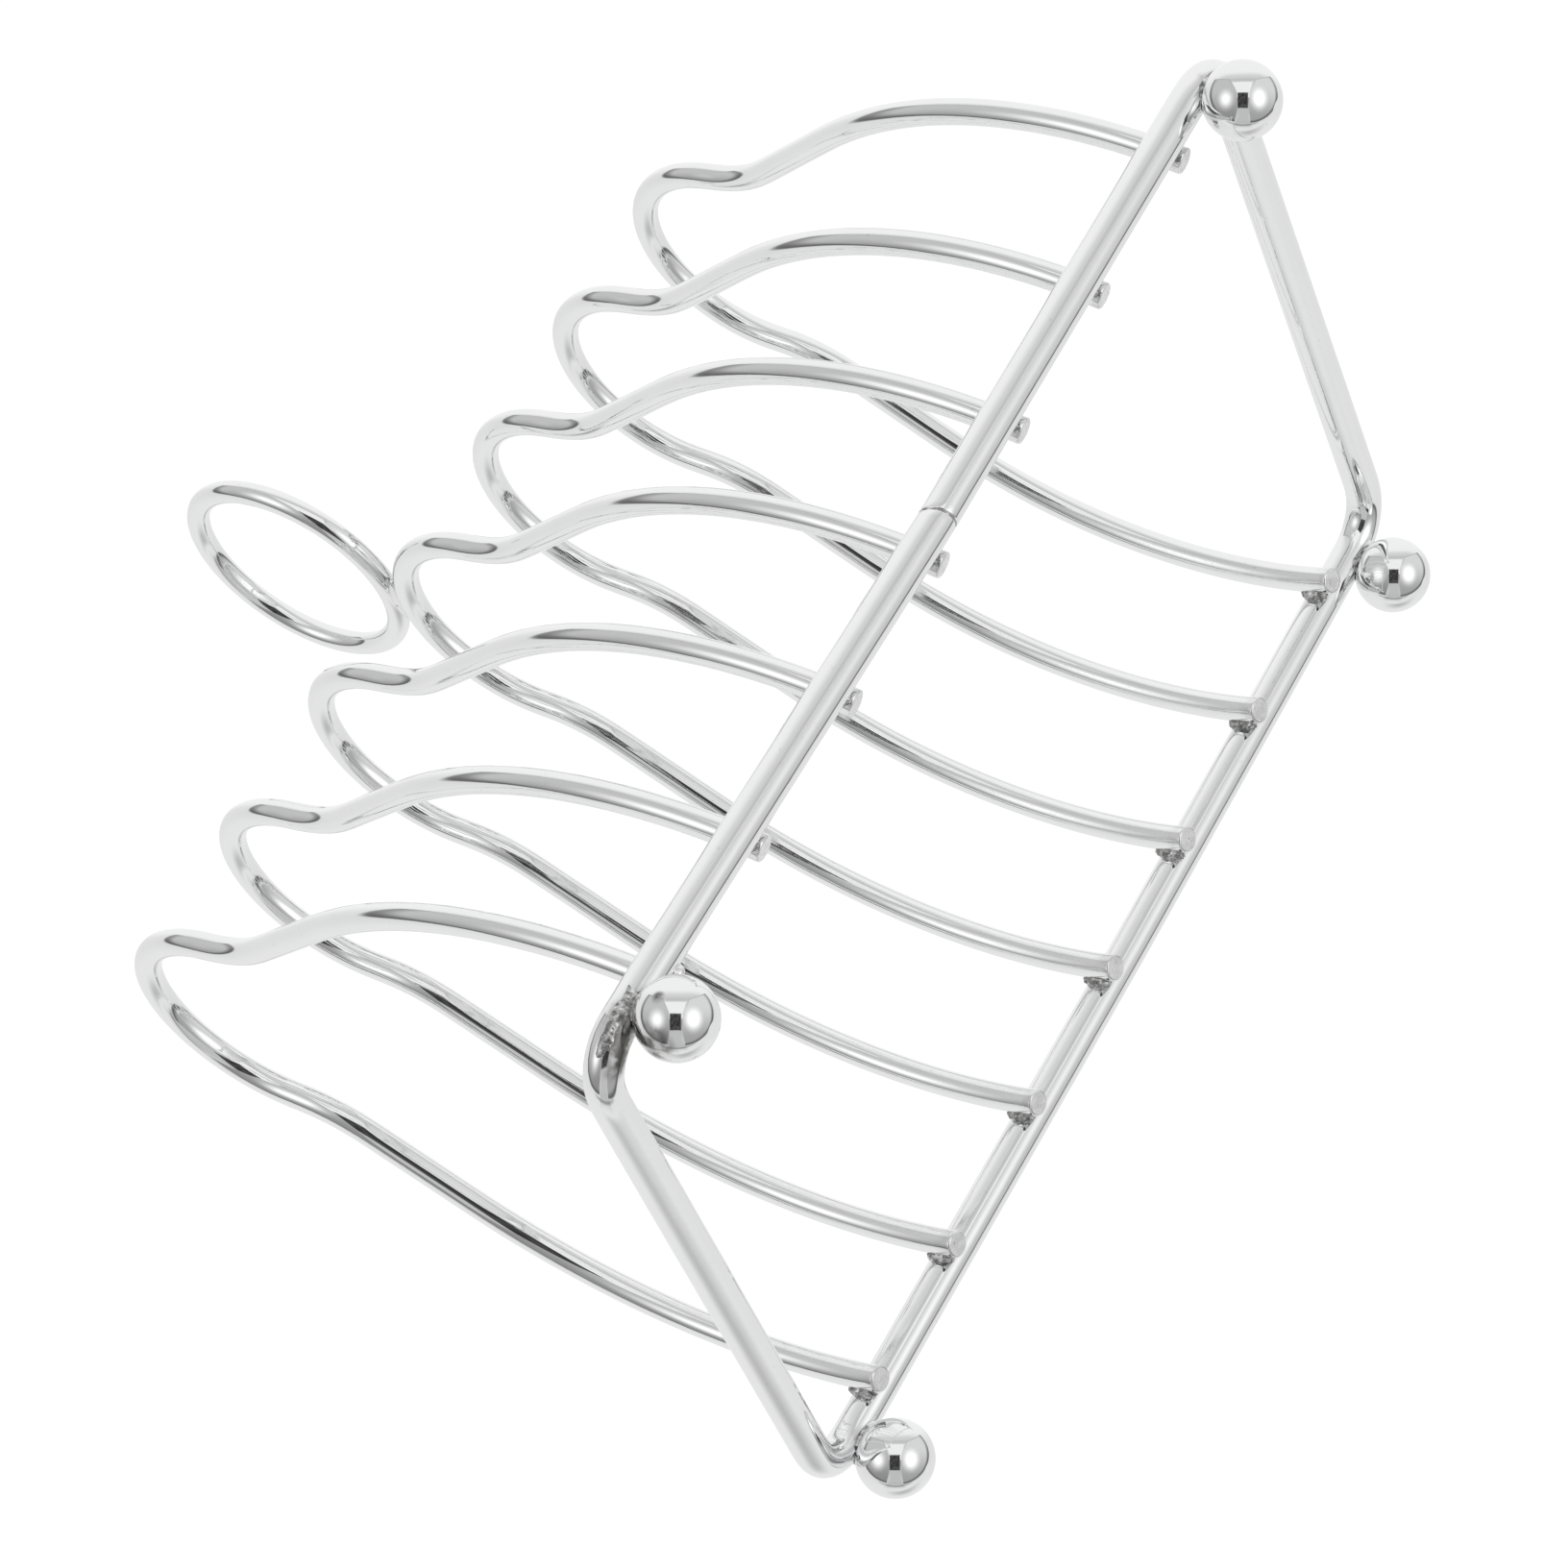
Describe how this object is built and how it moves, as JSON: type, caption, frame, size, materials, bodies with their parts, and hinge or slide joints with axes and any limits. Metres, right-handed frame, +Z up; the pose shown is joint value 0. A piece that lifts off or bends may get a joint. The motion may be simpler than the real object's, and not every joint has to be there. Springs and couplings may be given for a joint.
{
  "type": "toast rack",
  "caption": "Welded bright wire toast rack: arched dividers across a rounded rectangular base frame, with a ring handle on top and ball feet.",
  "frame": {"origin": "on the table plane, under the middle of the rack", "axes": "+X along the row of slices, +Y across the rack along each slice, +Z up; the frame rod's seam is on the -Y side"},
  "size_m": [0.19, 0.1226, 0.1607],
  "materials": {
    "bright_steel": "mirror polish with fine handling scratches",
    "weld_metal": "rough grey weld metal, partly polished over"
  },
  "bodies": {
    "root": {"frame_rod": "bright_steel", "frame_butt_weld": "weld_metal", "foot_left_front": "bright_steel", "foot_left_front_weld": "weld_metal", "foot_right_front": "bright_steel", "foot_right_front_weld": "weld_metal", "foot_left_back": "bright_steel", "foot_left_back_weld": "weld_metal", "foot_right_back": "bright_steel", "foot_right_back_weld": "weld_metal", "divider_1": "bright_steel", "divider_1_front_weld": "weld_metal", "divider_1_back_weld": "weld_metal", "divider_2": "bright_steel", "divider_2_front_weld": "weld_metal", "divider_2_back_weld": "weld_metal", "divider_3": "bright_steel", "divider_3_front_weld": "weld_metal", "divider_3_back_weld": "weld_metal", "divider_4": "bright_steel", "divider_4_front_weld": "weld_metal", "divider_4_back_weld": "weld_metal", "divider_5": "bright_steel", "divider_5_front_weld": "weld_metal", "divider_5_back_weld": "weld_metal", "divider_6": "bright_steel", "divider_6_front_weld": "weld_metal", "divider_6_back_weld": "weld_metal", "divider_7": "bright_steel", "divider_7_front_weld": "weld_metal", "divider_7_back_weld": "weld_metal", "ring_handle": "bright_steel", "ring_weld": "weld_metal"}
  },
  "joints": []
}
